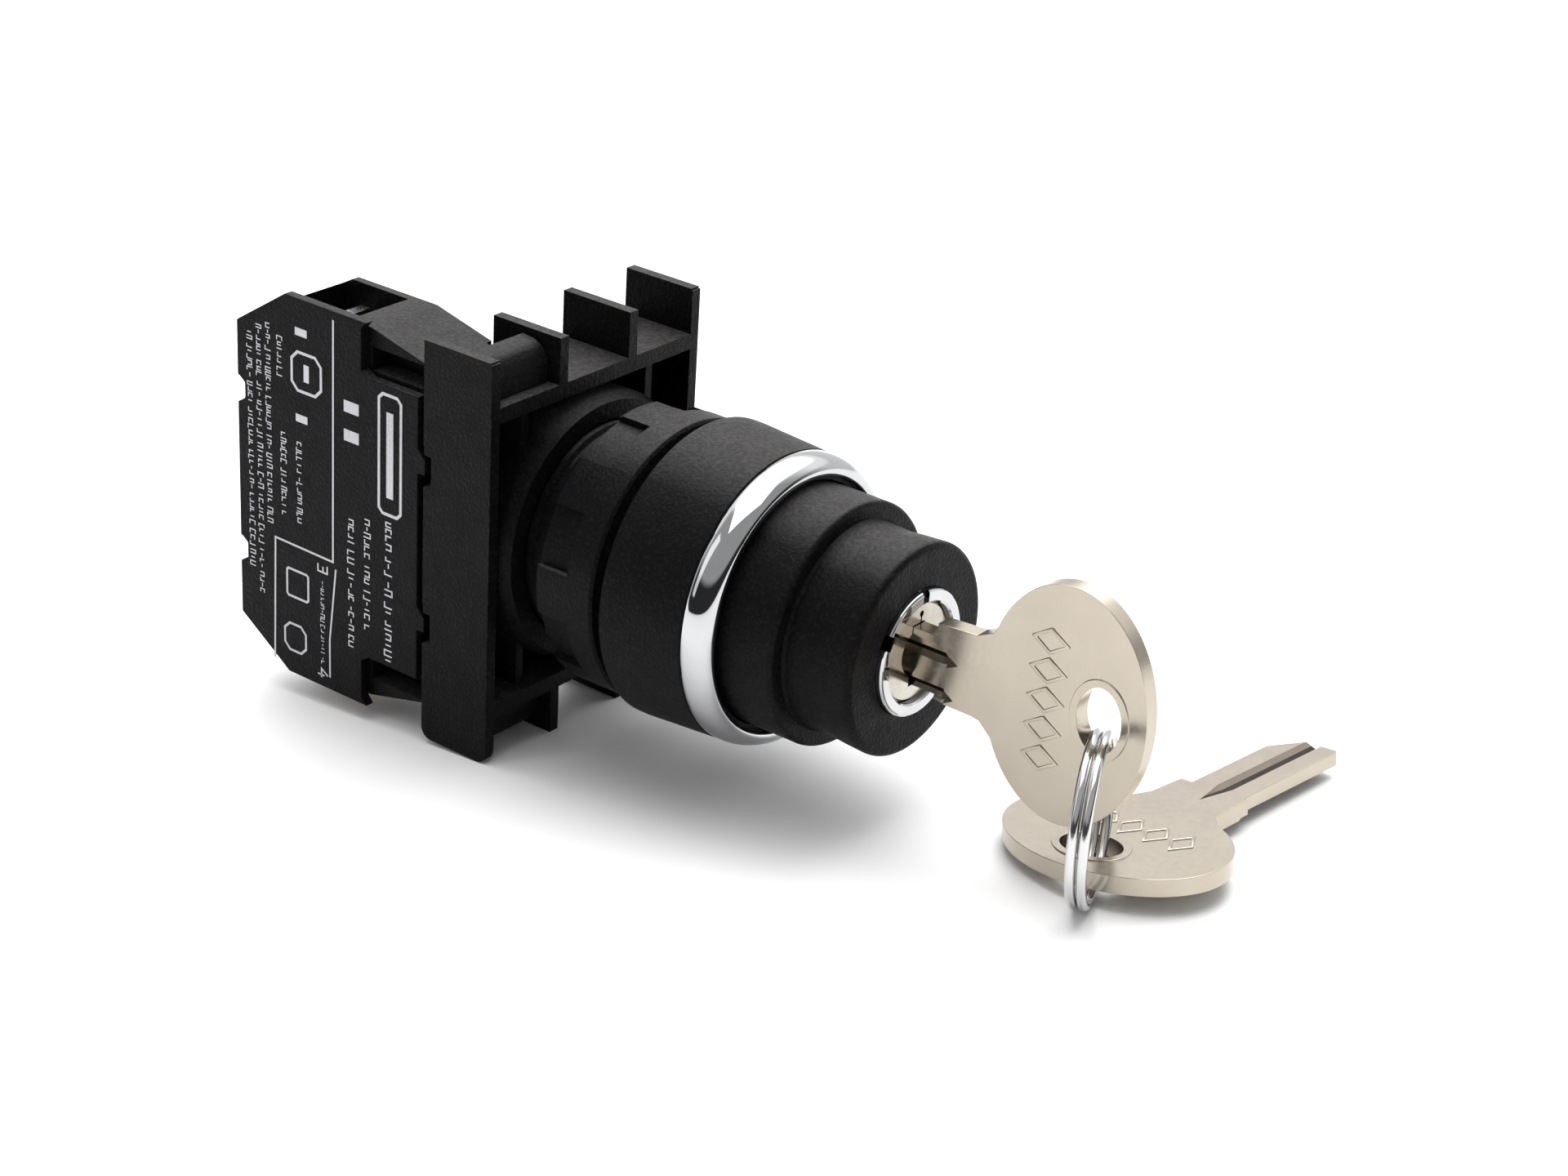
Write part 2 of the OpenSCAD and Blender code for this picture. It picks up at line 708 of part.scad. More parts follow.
// Outline of a key: the ring hole is at the origin and the blade points along +X.
module key_outline() {
  blade = blade_h / 2;
  offset(r = -2.4) offset(delta = 2.4) {
    translate([bow_u, bow_v]) scale([bow_half_u, bow_w / 2]) circle(r = 1, $fn = 72);
    polygon([
      [bow_u, neck_low], [neck_end, neck_low + 0.2], [neck_end, shoulder_high],
      [neck_end - 3.4, shoulder_high + 0.2], [bow_u, neck_high]
    ]);
  }
  translate([0, blade_v]) polygon([
    [neck_end - 1, -blade], [key_reach - 0.3, -blade], [key_reach, 0.3 - blade],
    [key_reach, 0.7], [key_reach - 3.4, blade], [neck_end - 1, blade]
  ]);
}

// Cutter for a milled groove: v from low to high, deepest at deep_v, with a pointed start.
module groove(low, high, deep_v, depth, start, run, side) {
  far = key_reach + 1;
  top = side * (key_t / 2 + 0.01);
  floor_z = side * (key_t / 2 - depth);
  points = [
    [start, (low + high) / 2, top],
    [start + run, low, top], [start + run, high, top], [start + run, deep_v, floor_z],
    [far, low, top], [far, high, top], [far, deep_v, floor_z]
  ];
  faces = [[0, 1, 2], [1, 4, 5, 2], [0, 3, 1], [0, 2, 3], [1, 3, 6, 4], [2, 5, 6, 3], [4, 6, 5]];
  polyhedron(points, side < 0 ? faces : [for (f = faces) [for (k = [len(f) - 1 : -1 : 0]) f[k]]]);
}

// Flat key, its middle plane on z = 0.
module key_blank() {
  rim = 0.12;
  difference() {
    union() {
      translate([0, 0, -key_t / 2]) linear_extrude(key_t) key_outline();
      translate([0, 0, -key_t / 2 - rim]) linear_extrude(key_t + 2 * rim)
        scale([hole_u + 0.75, hole_v + 0.75]) circle(r = 1, $fn = 40);
    }
    translate([0, 0, -5]) linear_extrude(10) scale([hole_u, hole_v]) circle(r = 1, $fn = 40);
    groove(-1.9, -0.1, -1.8, 0.7, 14.5, 4, 1);
    groove(-0.9, 0.7, 0.55, 0.75, 15, 1.6, -1);
    groove(-4.5, -2.9, -3.05, 0.75, 15.2, 1.4, -1);
    translate([neck_end - 1.2, blade_v - blade_h, -key_t / 2 - 1])
      cube([30, blade_h + 2.2, 1 + blade_step]);
  }
}

// where the ring holes and the ring lie, and how the spare key and the ring are turned
key_hole_y = -47;
spare_hole = [1.89, -46.25, -14.24];
spare_turn = [-7.73, 0.92, -6.94];
ring_centre = [-2, -48.08, -8.19];
ring_turn = [-1.5, 0, 22.7];

module key() {
  color(nickel) translate([0, key_hole_y, key_z - blade_v]) rotate([90, 0, 90]) key_blank();
}

module spare_key() {
  color(nickel) translate(spare_hole) rotate(spare_turn) key_blank();
}

// Split ring: two turns of wire side by side, stepping over at one place.
module key_ring() {
  steps = 44;
  start = 20;
  n = 2 * steps - 2;
  gap = ring_wire / 2 + 0.03;
  angles = [for (i = [0 : n]) start + 360 * i / steps];
  out = [for (a = angles) [cos(a), 0, sin(a)]];
  over = [for (i = [0 : n]) gap * max(-1, min(1, (i - n / 2) / 3))];
  path = [for (i = [0 : n]) ring_d / 2 * out[i] + [0, over[i], 0]];
  side = [for (i = [0 : n]) [0, -1, 0]];
  color(silver) translate(ring_centre) rotate(ring_turn) swept(path, side, out, ring_wire / 2);
}

bezel_body();
bezel_ring();
panel_gasket();
locking_nut();
lock_housing();
lock_barrel();
barrel_clip();
lock_plug();
plug_clip();
wafer(0);  // wafer_1
wafer(1);  // wafer_2
wafer(2);  // wafer_3
wafer(3);  // wafer_4
wafer_springs();
tail_driver();
tail_screw();
cam_rotor();
index_ball();
index_spring();
guide_plate();
pusher_near();
pusher_far();
adapter_frame();
block_housing();
block_cover();
block_plunger();
plunger_spring();
contact_bridge();
bridge_tips();
bridge_spring();
terminal_upper();
terminal_lower();
fixed_tip_upper();
fixed_tip_lower();
clamp_upper();
clamp_lower();
terminal_screw_upper();
terminal_screw_lower();
key();
key_ring();
spare_key();
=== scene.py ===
"""Looks for the key-operated selector switch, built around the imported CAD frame.

The row frame is kept as the CAD has it. The switch lies tipped a little nose-down on
its adapter's lower front edge, so the floor is tilted under it and the camera has the
matching roll.
"""
import json
import math
import random

import bmesh
import bpy
from mathutils import Euler, Matrix, Vector


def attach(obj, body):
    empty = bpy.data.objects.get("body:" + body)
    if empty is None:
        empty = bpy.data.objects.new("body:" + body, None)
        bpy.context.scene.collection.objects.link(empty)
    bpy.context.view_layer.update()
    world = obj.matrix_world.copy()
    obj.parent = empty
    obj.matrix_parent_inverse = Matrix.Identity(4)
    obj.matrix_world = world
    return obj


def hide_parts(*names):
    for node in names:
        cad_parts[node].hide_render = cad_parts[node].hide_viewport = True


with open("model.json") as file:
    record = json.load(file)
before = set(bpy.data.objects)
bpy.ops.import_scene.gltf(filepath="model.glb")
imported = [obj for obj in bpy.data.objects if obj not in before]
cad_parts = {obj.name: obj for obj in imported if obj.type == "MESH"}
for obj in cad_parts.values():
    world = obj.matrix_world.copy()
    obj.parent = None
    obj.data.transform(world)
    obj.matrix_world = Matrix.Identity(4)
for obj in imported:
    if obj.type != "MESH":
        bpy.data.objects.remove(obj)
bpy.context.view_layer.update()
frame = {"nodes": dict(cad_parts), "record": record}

MM = 0.001
scene = bpy.context.scene
nodes = frame["nodes"]


# ---------------------------------------------------------------- camera and stage

CAMERA_AZ = math.radians(-53.708)
CAMERA_EL = math.radians(25.585)
CAMERA_ROLL = math.radians(3.734)
CAMERA_OFFSET = Vector((9.102, -2.496, 291.466)) * MM
LENS_MM = 69.98
FLOOR_TILT = math.radians(4.26)
FLOOR_HALF = 3.0
CONTACT = Vector((0, 12.1, -20.9)) * MM


def make_camera():
    data = bpy.data.cameras.new("camera")
    data.sensor_width = 36
    data.lens = LENS_MM
    data.clip_start = 0.01
    data.clip_end = 20
    cam = bpy.data.objects.new("camera", data)
    scene.collection.objects.link(cam)
    turn = (
        Matrix.Rotation(CAMERA_AZ, 4, "Z")
        @ Matrix.Rotation(math.pi / 2 - CAMERA_EL, 4, "X")
        @ Matrix.Rotation(CAMERA_ROLL, 4, "Z")
    )
    cam.matrix_world = Matrix.Translation(turn @ CAMERA_OFFSET) @ turn
    scene.camera = cam


def new_object(name, mesh):
    obj = bpy.data.objects.new(name, mesh)
    scene.collection.objects.link(obj)
    return obj


def make_floor():
    mesh = bpy.data.meshes.new("floor")
    corners = [(FLOOR_HALF * x, FLOOR_HALF * y, 0) for x, y in ((-1, -1), (1, -1), (1, 1), (-1, 1))]
    mesh.from_pydata(corners, [], [(0, 1, 2, 3)])
    floor = new_object("floor", mesh)
    floor.matrix_world = Matrix.Translation(CONTACT) @ Matrix.Rotation(-FLOOR_TILT, 4, "X")
    mesh.materials.append(floor_material())


def area_light(name, place, width, depth, power):
    """Flat light at a place in metres, turned towards the switch."""
    data = bpy.data.lights.new(name, "AREA")
    data.shape = "RECTANGLE"
    data.size = width
    data.size_y = depth
    data.energy = power
    lamp = bpy.data.objects.new(name, data)
    scene.collection.objects.link(lamp)
    lamp.rotation_euler = Vector(place).to_track_quat("Z", "Y").to_euler()
    lamp.location = place


# the lit parts of the room: where each one's middle lies, the cosines of the angles from it
# between which it fades in, and its level before and after
BACKDROP = ((0.806, 0.592, 0), (0.0, 0.5), (0.0, 0.95))
SOFT_BOX = ((0.4, 0.294, 0.868), (0.79, 0.92), (0.0, 2.3))
ROOM = ((0, 0, 1), (0.3, 0.42), (0.04, 0.52))


def ranged(tree, value, start, end, low, high, kind="LINEAR"):
    """A value between start and end, brought between low and high."""
    tool = tree.nodes.new("ShaderNodeMapRange")
    tool.interpolation_type = kind
    tree.links.new(value, tool.inputs["Value"])
    for socket, number in zip(("From Min", "From Max", "To Min", "To Max"), (start, end, low, high)):
        tool.inputs[socket].default_value = number
    return tool.outputs["Result"]


def make_world():
    """White backdrop, a big soft box high behind the switch and a dim room with a dark low band."""
    world = bpy.data.worlds.new("studio")
    scene.world = world
    world.use_nodes = True
    tree = world.node_tree
    background = tree.nodes["Background"]
    coords = tree.nodes.new("ShaderNodeTexCoord")

    def lit(towards, edge, levels):
        along = tree.nodes.new("ShaderNodeVectorMath")
        along.operation = "DOT_PRODUCT"
        along.inputs[1].default_value = towards
        tree.links.new(coords.outputs["Generated"], along.inputs[0])
        return ranged(tree, along.outputs["Value"], *edge, *levels, kind="SMOOTHSTEP")

    def add(a, b):
        total = tree.nodes.new("ShaderNodeMath")
        total.operation = "ADD"
        tree.links.new(a, total.inputs[0])
        tree.links.new(b, total.inputs[1])
        return total.outputs["Value"]

    level = add(add(lit(*BACKDROP), lit(*SOFT_BOX)), lit(*ROOM))
    tree.links.new(level, background.inputs["Strength"])
    background.inputs["Color"].default_value = (1, 1, 1, 1)


def make_lights():
    area_light("overhead", (0.06, 0.06, 0.9), width=0.9, depth=0.9, power=5.8)
    area_light("left_strip", (-0.75, 0.5, 0.5), width=0.25, depth=0.8, power=0.7)
    make_world()


# ---------------------------------------------------------------- materials

# places of a mix node's colour sockets, which share their names with the number sockets
MIX_COLOURS_IN = (6, 7)
MIX_COLOUR_OUT = 2


class Paint:
    """Node graph of one procedural material, built step by step."""

    def __init__(self, name, metallic=0.0, **constants):
        self.mat = bpy.data.materials.new(name)
        self.mat.use_nodes = True
        self.tree = self.mat.node_tree
        self.shader = self.tree.nodes["Principled BSDF"]
        self.shader.inputs["Metallic"].default_value = metallic
        for socket, value in constants.items():
            self.shader.inputs[socket.replace("_", " ")].default_value = value
        coords = self.node("ShaderNodeTexCoord")
        self.coords = coords.outputs["Object"]
        self.normals = coords.outputs["Normal"]

    def node(self, kind, **values):
        made = self.tree.nodes.new(kind)
        for key, value in values.items():
            setattr(made, key, value)
        return made

    def link(self, out, socket):
        self.tree.links.new(out, socket)

    def noise(self, size_mm, detail=2.0, rough=0.5, stretch=(1, 1, 1)):
        """Noise whose features are about size_mm across, drawn out by stretch."""
        place = self.node("ShaderNodeMapping")
        place.inputs["Scale"].default_value = [1 / (size_mm * MM * s) for s in stretch]
        self.link(self.coords, place.inputs["Vector"])
        tex = self.node("ShaderNodeTexNoise")
        tex.inputs["Scale"].default_value = 1.0
        tex.inputs["Detail"].default_value = detail
        tex.inputs["Roughness"].default_value = rough
        self.link(place.outputs["Vector"], tex.inputs["Vector"])
        return tex.outputs["Fac"]

    def span(self, value, low, high, start=0.3, end=0.7):
        """Value brought between low and high; most of a noise lies between 0.3 and 0.7."""
        return ranged(self.tree, value, start, end, low, high)

    def mix(self, fac, a, b):
        """Colour between a and b, each a constant or the output of another node."""
        tool = self.node("ShaderNodeMix", data_type="RGBA")
        self.link(fac, tool.inputs["Factor"])
        for place, value in zip(MIX_COLOURS_IN, (a, b)):
            if isinstance(value, tuple):
                tool.inputs[place].default_value = (*value, 1)
            else:
                self.link(value, tool.inputs[place])
        return tool.outputs[MIX_COLOUR_OUT]

    def set(self, socket, value):
        self.link(value, self.shader.inputs[socket])

    def bump(self, height, depth_mm, strength):
        tool = self.node("ShaderNodeBump")
        tool.inputs["Distance"].default_value = depth_mm * MM
        tool.inputs["Strength"].default_value = strength
        self.link(height, tool.inputs["Height"])
        return tool.outputs["Normal"]


def floor_material():
    p = Paint("floor_pale", Roughness=0.8)
    p.set("Base Color", p.mix(p.noise(300), (0.92, 0.92, 0.922), (0.94, 0.94, 0.941)))
    return p.mat


# what every plastic shares: the part of the grain that catches the light, the sizes of the
# clouds and marks, and for the dust, which also paints a sheen on upper sides, its patches, how thick
# they lie and how far up a side faces
GRAIN_PEAKS = (0.5, 0.72)
CLOUD_MM = 7
HANDLING_MM = 2.2
DUST_AND_SHEEN_MM = 0.4
DUST_AND_SHEEN_PATCHES = (0.42, 0.6)
DUST_AND_SHEEN_COVER = (0.5, 1.0)
FACING_UP = (0.8, 1.0)


def plastic(name, dark, light, rough=(0.48, 0.62), grain_mm=0.3, depth_mm=0.06, shine=0.5, dust_and_sheen=None):
    """Moulded plastic: spark-eroded grain, cloudy tone, faint handling marks, dust and a painted sheen of
    the overhead light on its upper sides.
    """
    p = Paint(name, Specular_IOR_Level=shine)
    grain = p.noise(grain_mm, 2, 0.6)
    speck = p.span(grain, 0, 1, *GRAIN_PEAKS)
    cloud = p.span(p.noise(CLOUD_MM, 4), 0, 1)
    bright = tuple(min(2.2 * c, c + 0.03) for c in light)
    tone = p.mix(speck, p.mix(cloud, dark, light), bright)
    # lighter patches on faces that point up: partly real dust, partly a painted sheen where the overhead
    # light falls
    if dust_and_sheen:
        apart = p.node("ShaderNodeSeparateXYZ")
        p.link(p.normals, apart.inputs["Vector"])
        dust_and_sheen_mask = p.node("ShaderNodeMath", operation="MULTIPLY")
        p.link(p.span(apart.outputs["Z"], 0, 1, *FACING_UP), dust_and_sheen_mask.inputs[0])
        p.link(p.span(p.noise(DUST_AND_SHEEN_MM, 3, 0.7), *DUST_AND_SHEEN_COVER, *DUST_AND_SHEEN_PATCHES), dust_and_sheen_mask.inputs[1])
        tone = p.mix(dust_and_sheen_mask.outputs["Value"], tone, dust_and_sheen)
    p.set("Base Color", tone)
    p.set("Roughness", p.span(p.noise(HANDLING_MM, 5, 0.6), *rough))
    p.set("Normal", p.bump(grain, depth_mm, 0.7))
    return p.mat


def metal(name, colour, shade, rough, grain_mm=0.3, depth_mm=0.002, stretch=(1, 1, 1), tone_mm=3.5):
    """Plated or bare metal: colour drifts to shade in patches, with fine marks in the finish."""
    p = Paint(name, metallic=1.0)
    p.set("Base Color", p.mix(p.span(p.noise(tone_mm, 4, 0.55), 0, 1), colour, shade))
    fine = p.noise(grain_mm, 3, 0.6, stretch)
    p.set("Roughness", p.span(fine, *rough))
    p.set("Normal", p.bump(fine, depth_mm, 0.4))
    return p.mat


def make_materials():
    return {
        # its pale colour on upward faces is partly dust, partly painted sheen
        "black_plastic": plastic("black_grained_plastic", (0.0026, 0.0024, 0.0028),
                                 (0.004, 0.0037, 0.0043), (0.42, 0.55), grain_mm=0.34,
                                 depth_mm=0.14, shine=0.07, dust_and_sheen=(0.052, 0.05, 0.049)),
        "rubber": plastic("gasket_rubber", (0.0008, 0.0008, 0.0008), (0.0014, 0.0014, 0.0014),
                          (0.4, 0.5), grain_mm=0.5, depth_mm=0.01, shine=0.0),
        "grey": plastic("grey_moulded_plastic", (0.18, 0.18, 0.19), (0.22, 0.22, 0.23)),
        "red": plastic("red_moulded_plastic", (0.4, 0.012, 0.01), (0.5, 0.02, 0.015)),
        "chrome": metal("mirror_chrome", (0.5, 0.505, 0.515), (0.46, 0.465, 0.475),
                        (0.03, 0.06), grain_mm=1.2, depth_mm=0.0005),
        "nickel": metal("satin_nickel", (0.455, 0.407, 0.338), (0.42, 0.374, 0.31),
                        (0.2, 0.27), grain_mm=0.5, depth_mm=0.001, tone_mm=6),
        # groove floors: duller milled finish, their colour darkened further as painted shade in the
        # hollow
        "milled": metal("milled_nickel", (0.115, 0.097, 0.079), (0.1, 0.084, 0.068), (0.24, 0.34),
                        grain_mm=0.25, stretch=(6, 1, 1)),
        # dark line in the groove's corner: painted shade where the groove wall shadows the floor
        "groove_shade": metal("painted_groove_shade", (0.018, 0.015, 0.012), (0.028, 0.023, 0.019), (0.3, 0.42)),
        "plug": metal("turned_zinc_plug", (0.5, 0.465, 0.41), (0.42, 0.39, 0.34),
                      (0.14, 0.24), grain_mm=0.35, tone_mm=2),
        "steel": metal("zinc_plated_steel", (0.34, 0.35, 0.37), (0.27, 0.28, 0.3), (0.2, 0.34)),
        "wire": metal("bright_wire", (0.6, 0.6, 0.6), (0.52, 0.52, 0.53), (0.1, 0.2)),
        "brass": metal("stamped_brass", (0.76, 0.5, 0.2), (0.66, 0.4, 0.14), (0.2, 0.35)),
        "silver": metal("contact_silver", (0.86, 0.85, 0.83), (0.74, 0.73, 0.71), (0.22, 0.4)),
        "print": plastic("white_print", (0.5, 0.5, 0.53), (0.6, 0.6, 0.63),
                         (0.5, 0.65), grain_mm=0.25, depth_mm=0.003),
    }


SLOT_FINISH = {
    "black_plastic": "black_plastic", "chrome_trim": "chrome", "rubber_black": "rubber",
    "grey_plastic": "grey", "red_plastic": "red", "plated_steel": "steel",
    "spring_steel": "wire", "nickel": "nickel", "brass": "brass", "contact_silver": "silver",
}


def node_slot(node):
    return next(s["material_slot"] for s in frame["record"]["subparts"] if s["node"] == node)


def node_body(node):
    bodies = frame["record"]["behaviour"]["bodies"]
    return next(body for body, members in bodies.items() if node in members)


# ---------------------------------------------------------------- pieces

EDGE_MM = 0.12
EDGE_ANGLE = 35
FLAT_ANGLE = 1
SAME_POINT_MM = 0.002
LATHE_STEPS = 256


def settle(piece, body, slot, *replaced, look=None):
    """Parents a new piece to the body it rides on, hides the CAD nodes it takes the place of and gives it
    its finish.
    """
    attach(piece, body)
    if replaced:
        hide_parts(*replaced)
    piece.data.materials.clear()
    piece.data.materials.append(finish[look or SLOT_FINISH[slot]])
    return piece


def apply_modifiers(piece):
    bpy.context.view_layer.update()
    shaped = piece.evaluated_get(bpy.context.evaluated_depsgraph_get())
    mesh = bpy.data.meshes.new_from_object(shaped)
    piece.modifiers.clear()
    piece.data = mesh


def smooth(mesh, angle):
    """Smooth shading that keeps edges sharper than the angle."""
    bm = bmesh.new()
    bm.from_mesh(mesh)
    for face in bm.faces:
        face.smooth = True
    for edge in bm.edges:
        edge.smooth = len(edge.link_faces) == 2 and edge.calc_face_angle(0) < math.radians(angle)
    bm.to_mesh(mesh)
    bm.free()


def round_edges(piece, width_mm, crease):
    """Rounds the edges sharper than EDGE_ANGLE, then keeps those sharper than crease hard."""
    bevel = piece.modifiers.new("edges", "BEVEL")
    bevel.width = width_mm * MM
    bevel.segments = 2
    bevel.limit_method = "ANGLE"
    bevel.angle_limit = math.radians(EDGE_ANGLE)
    bevel.use_clamp_overlap = True
    bevel.miter_outer = "MITER_ARC"
    apply_modifiers(piece)
    smooth(piece.data, crease)
    weighted = piece.modifiers.new("flats", "WEIGHTED_NORMAL")
    weighted.keep_sharp = True
    weighted.weight = 90
    apply_modifiers(piece)


def softened(node, crease=EDGE_ANGLE, score=None):
    """Copy of a CAD node with its sharp edges rounded as moulding or stamping leaves them.

    A score is a function that cuts further lines into the faces before the rounding.
    """
    mesh = nodes[node].data.copy()
    bm = bmesh.new()
    bm.from_mesh(mesh)
    bmesh.ops.remove_doubles(bm, verts=bm.verts, dist=SAME_POINT_MM * MM)
    bmesh.ops.dissolve_limit(
        bm, angle_limit=math.radians(FLAT_ANGLE), verts=bm.verts, edges=bm.edges
    )
    if score:
        score(bm)
    bm.to_mesh(mesh)
    bm.free()
    piece = new_object(node + "_rounded", mesh)
    round_edges(piece, EDGE_MM, crease)
    return settle(piece, node_body(node), node_slot(node), node)


def mesh_object(name, verts, faces):
    """Object from points in millimetres, with its faces turned outwards."""
    mesh = bpy.data.meshes.new(name)
    mesh.from_pydata([Vector(v) * MM for v in verts], [], faces)
    bm = bmesh.new()
    bm.from_mesh(mesh)
    bmesh.ops.recalc_face_normals(bm, faces=bm.faces)
    bm.to_mesh(mesh)
    bm.free()
    return new_object(name, mesh)


def lathe(name, profile):
    """Ring turned about the switch's axis from a closed profile of (radius, y)."""
    verts, faces = [], []
    n = len(profile)
    for i in range(LATHE_STEPS):
        a = 2 * math.pi * i / LATHE_STEPS
        verts += [(r * math.cos(a), y, r * math.sin(a)) for r, y in profile]
        j = (i + 1) % LATHE_STEPS
        faces += [(i * n + k, i * n + (k + 1) % n, j * n + (k + 1) % n, j * n + k) for k in range(n)]
    return mesh_object(name, verts, faces)


SHARPEST_MITRE = 0.3


def band(points, width, closed):
    """Left and right edges of a flat line of even width, with mitred corners."""
    pts = [Vector(p) for p in points]
    n = len(pts)
    left, right = [], []
    for i, p in enumerate(pts):
        before = pts[i - 1] if i or closed else None
        after = pts[(i + 1) % n] if i < n - 1 or closed else None
        runs = [(b - a).normalized() for a, b in ((before, p), (p, after)) if a and b]
        run = sum(runs, Vector((0, 0))).normalized()
        side = Vector((-run.y, run.x)) * (width / 2 / max(SHARPEST_MITRE, run.dot(runs[0])))
        left.append(p + side)
        right.append(p - side)
    return left, right


def raised(name, lines, place, low, high):
    """Lines standing on a surface: each is (points, width, closed) in the surface's plane."""
    verts, faces = [], []
    for points, width, closed in lines:
        left, right = band(points, width, closed)
        base = len(verts)
        for sides in zip(left, right):
            verts += [place @ Vector((*side, h)) for side in sides for h in (low, high)]
        n = len(points)
        for i in range(n if closed else n - 1):
            a, b = base + 4 * i, base + 4 * ((i + 1) % n)
            faces += [(a + s, a + t, b + t, b + s) for s, t in ((0, 1), (1, 3), (3, 2), (2, 0))]
        if not closed:
            for a in (base, base + 4 * (n - 1)):
                faces.append((a, a + 1, a + 3, a + 2))
    return mesh_object(name, verts, faces)


def frame_line(y, z, half_y, half_z, width, cut):
    """Closed line round a rectangle, with its corners cut."""
    return ([
        (y - half_y + cut, z - half_z), (y + half_y - cut, z - half_z),
        (y + half_y, z - half_z + cut), (y + half_y, z + half_z - cut),
        (y + half_y - cut, z + half_z), (y - half_y + cut, z + half_z),
        (y - half_y, z + half_z - cut), (y - half_y, z - half_z + cut),
    ], width, True)


def open_line(width, *points):
    return (list(points), width, False)


# white print on the contact block's cover: no words or marks, only neutral strokes, bars and
# frames, and the terminal numbers

COVER_FACE = 15.0
PRINT_SINK = 0.05
PRINT_RISE = 0.02

# rows of small strokes
ROWS = [
    # y, z from, z to, height
    (25.2, 0.7, -15.2, 1.0), (28.1, 0.1, -12.0, 0.9), (30.3, -0.6, -14.9, 0.9),
    (34.3, -8.6, -17.9, 0.55), (37.4, 5.4, -3.3, 0.75), (39.6, 5.8, -3.3, 0.75),
    (40.0, 15.8, 11.5, 0.7), (41.6, 16.7, -4.7, 0.75), (42.9, 16.2, -13.7, 0.75),
    (44.2, 15.3, -10.4, 0.75),
]

# strokes that stand for small print: points are (along, up) in a unit box
STROKES = [
    ((0.5, 0), (0.5, 1)), ((0, 0.5), (1, 0.5)), ((0, 1), (0, 0), (1, 0)), ((0, 0), (1, 0), (1, 1)),
    ((0, 0), (0, 1), (1, 1), (1, 0)), ((0, 1), (0, 0), (1, 0), (1, 1)), ((1, 0), (0, 0), (0, 1), (1, 1)),
]

# a stroke's sizes and the gaps after it, as shares of its row's height
STROKE_WIDTHS = (0.42, 0.5, 0.58)
STROKE_HEIGHTS = (0.7, 0.7, 1.0)
STROKE_THICK = 0.15
STROKE_GAP = 0.3
GROUP_GAP = 0.45
GROUP_LENGTHS = (2, 7)
ROW_END_MM = 0.5


def cover_print():
    dice = random.Random(7)
    # the thin line between the fields of print
    lines = [open_line(0.22, (32.6, 19.5), (32.8, -6.0), (40.9, -5.9), (41.2, -19.5))]
    for y, z, end, tall in ROWS:
        while z > end + ROW_END_MM:
            for _ in range(dice.randint(*GROUP_LENGTHS)):
                wide = dice.choice(STROKE_WIDTHS) * tall
                if z - wide < end:
                    break
                high = tall * dice.choice(STROKE_HEIGHTS)
                shape = dice.choice(STROKES)
                stroke = [(y + high * (0.5 - up), z - wide * along) for along, up in shape]
                lines.append(open_line(STROKE_THICK * tall, *stroke))
                z -= wide + STROKE_GAP * tall
            z -= GROUP_GAP * tall
    # frames and bars in the places of the printed marks
    lines += [
        frame_line(25.05, 7.75, 1.45, 6.2, 0.32, 0.5),
        open_line(0.9, (25.05, 12.2), (25.05, 3.3)),
        open_line(1.2, (29.2, 11.2), (31.2, 11.2)),
        open_line(1.2, (29.2, 8.2), (31.2, 8.2)),
        frame_line(36.3, 12.9, 2.0, 2.0, 0.3, 0.8),
        open_line(0.7, (36.3, 13.8), (36.3, 12.0)),
        open_line(0.8, (36.2, 17.0), (37.8, 17.0)),
        open_line(0.8, (36.2, 8.0), (37.8, 8.0)),
        frame_line(37.8, -10.2, 1.5, 1.5, 0.25, 0.2),
        frame_line(38.2, -16.3, 1.5, 1.5, 0.25, 0.7),
    ]
    # terminal numbers and the contact symbol between them
    lines += [
        open_line(0.17, (33.6, -6.8), (33.6, -7.6), (34.2, -7.6), (34.2, -7.0)),
        open_line(0.17, (34.29, -7.6), (34.9, -7.6), (34.9, -6.8)),
        open_line(0.17, (33.6, -19.0), (34.5, -18.4), (34.5, -19.4)),
        open_line(0.17, (34.1, -19.1), (35.0, -19.1)),
        open_line(0.2, (32.4, -6.7), (33.3, -14.8), (33.3, -19.0)),
    ]
    to_cover = Matrix(((0, 0, -1, 0), (1, 0, 0, 0), (0, 1, 0, 0), (0, 0, 0, 1)))
    piece = raised("cover_print", lines, to_cover, COVER_FACE - PRINT_SINK, COVER_FACE + PRINT_RISE)
    settle(piece, "switch", "black_plastic", look="print")


# chromed trim ring, turned smooth: a quarter round outside, a short lip inside

TRIM_SEAT = 10.8
TRIM_FRONT = 13.6
TRIM_OUT = 14.4
TRIM_IN = 12.54
TRIM_CHAMFER = 0.12
TRIM_FLAT = 0.41
TRIM_STRAIGHT = 0.5
TRIM_LIP = ((0.14, 0.05), (0, 0.25))
TRIM_ARC_STEPS = 28
TRIM_CREASE = 50


